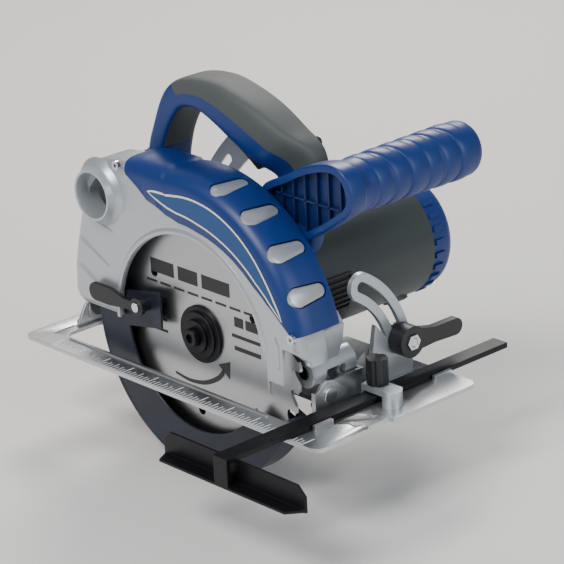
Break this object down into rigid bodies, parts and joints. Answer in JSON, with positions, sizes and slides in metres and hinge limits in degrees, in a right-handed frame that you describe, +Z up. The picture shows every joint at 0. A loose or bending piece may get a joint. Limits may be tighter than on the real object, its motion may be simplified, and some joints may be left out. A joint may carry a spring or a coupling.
{
  "type": "circular saw",
  "caption": "Corded hand-held circular saw with a pressed steel sole, depth and bevel settings, swinging lower guard, side auxiliary handle and rip fence",
  "frame": {"origin": "on the sole, below the blade's axis, at the middle of the sole's width", "axes": "+X the cutting direction, +Y towards the motor side, +Z up"},
  "size_m": [0.3345, 0.27, 0.266],
  "materials": {
    "sole_steel": "satin",
    "blade_steel": "satin",
    "dark_steel": "satin",
    "cast_aluminium": "satin",
    "blue_plastic": "satin",
    "black_plastic": "satin",
    "grey_rubber": "matte",
    "housing_plastic": "satin",
    "rubber_black": "matte",
    "guard_steel": "satin",
    "bright_steel": "polished",
    "copper": "satin",
    "lamination_steel": "satin"
  },
  "bodies": {
    "base": {"base_plate": "sole_steel", "front_ear": "sole_steel", "rear_ear": "sole_steel", "tilt_rivets": "bright_steel", "bevel_quadrant": "sole_steel", "fence_clamp": "sole_steel"},
    "tilt_frame": {"tilt_bracket": "sole_steel", "depth_guide": "sole_steel", "bevel_bolt": "bright_steel"},
    "bevel_lever": {"bevel_lever": "black_plastic", "bevel_nut": "bright_steel"},
    "saw_head": {"upper_guard": "cast_aluminium", "guard_cover": "blue_plastic", "cover_screws": "bright_steel", "gear_case": "housing_plastic", "motor_housing": "housing_plastic", "end_cap": "blue_plastic", "handle_right": "blue_plastic", "handle_left": "blue_plastic", "soft_grip": "grey_rubber", "aux_handle_upper": "blue_plastic", "aux_handle_lower": "grey_rubber", "switch_block": "black_plastic", "cord_gland": "rubber_black", "housing_screws": "bright_steel", "hinge_bolt": "dark_steel", "depth_bolt": "bright_steel", "guard_bumper": "rubber_black", "guard_circlip": "dark_steel", "spindle_front_bearing": "bright_steel", "spindle_rear_bearing": "bright_steel", "armature_front_bearing": "bright_steel", "armature_rear_bearing": "bright_steel", "stator": "lamination_steel", "field_coils": "copper", "carbon_brushes": "dark_steel", "brush_caps": "black_plastic", "guard_spring": "bright_steel"},
    "depth_lever": {"depth_lever": "black_plastic"},
    "spindle_lock": {"spindle_lock": "black_plastic"},
    "trigger": {"trigger": "black_plastic"},
    "lock_off_button": {"lock_off_button": "black_plastic"},
    "lower_guard": {"lower_guard": "guard_steel", "guard_lever": "dark_steel", "lever_rivet": "bright_steel"},
    "spindle": {"blade": "blade_steel", "inner_flange": "dark_steel", "outer_flange": "dark_steel", "blade_bolt": "dark_steel", "spindle": "bright_steel", "drive_gear": "bright_steel"},
    "armature": {"armature_shaft": "bright_steel", "armature_core": "lamination_steel", "armature_windings": "copper", "commutator": "copper", "cooling_fan": "black_plastic"},
    "fence": {"rip_fence": "dark_steel"},
    "fence_knob": {"fence_knob": "black_plastic"}
  },
  "joints": [
    {"name": "bevel_tilt", "type": "hinge", "parent": "base", "child": "tilt_frame", "pos_m": [0, -0.023, 0.013], "axis": [1, 0, 0], "range_deg": [0, 45]},
    {"name": "bevel_lever_turn", "type": "hinge", "parent": "tilt_frame", "child": "bevel_lever", "pos_m": [0.104, 0.04753, 0.0298], "axis": [1, 0, 0], "range_deg": [0, 40]},
    {"name": "depth_hinge", "type": "hinge", "parent": "tilt_frame", "child": "saw_head", "pos_m": [0.088, -0.013, 0.0265], "axis": [0, 1, 0], "range_deg": [0, 34]},
    {"name": "depth_lever_turn", "type": "hinge", "parent": "saw_head", "child": "depth_lever", "pos_m": [-0.07143, 0.022, 0.04891], "axis": [0, 1, 0], "range_deg": [0, 35]},
    {"name": "spindle_turn", "type": "hinge", "parent": "saw_head", "child": "spindle", "pos_m": [0, -0.04, 0.034], "axis": [0, 1, 0], "continuous": true},
    {"name": "armature_turn", "type": "hinge", "parent": "saw_head", "child": "armature", "pos_m": [0.01789, 0.06, 0.06262], "axis": [0, 1, 0], "continuous": true},
    {"name": "lower_guard_swing", "type": "hinge", "parent": "saw_head", "child": "lower_guard", "pos_m": [0, -0.04, 0.034], "axis": [0, 1, 0], "range_deg": [0, 150], "stiffness_Nm_per_rad": 0.06, "springref_deg": -60.16},
    {"name": "spindle_lock_push", "type": "slide", "parent": "saw_head", "child": "spindle_lock", "axis": [1, 0, 0], "range_m": [0, 0.0045], "stiffness_N_per_m": 500, "springref_m": -0.006},
    {"name": "trigger_pull", "type": "slide", "parent": "saw_head", "child": "trigger", "axis": [0, 0, 1], "range_m": [0, 0.005], "stiffness_N_per_m": 500, "springref_m": -0.008},
    {"name": "lock_off_push", "type": "slide", "parent": "saw_head", "child": "lock_off_button", "axis": [0, -1, 0], "range_m": [0, 0.003], "stiffness_N_per_m": 500, "springref_m": -0.005},
    {"name": "fence_slide", "type": "slide", "parent": "base", "child": "fence", "axis": [0, 1, 0], "range_m": [-0.1, 0.039]},
    {"name": "fence_knob_turn", "type": "hinge", "parent": "base", "child": "fence_knob", "pos_m": [0.1125, 0.011, 0.02], "axis": [0, 0, 1], "range_deg": [-180, 180]}
  ],
  "couplings": [
    {"joint": "armature_turn", "follows": "spindle_turn", "ratio": -4.4}
  ]
}
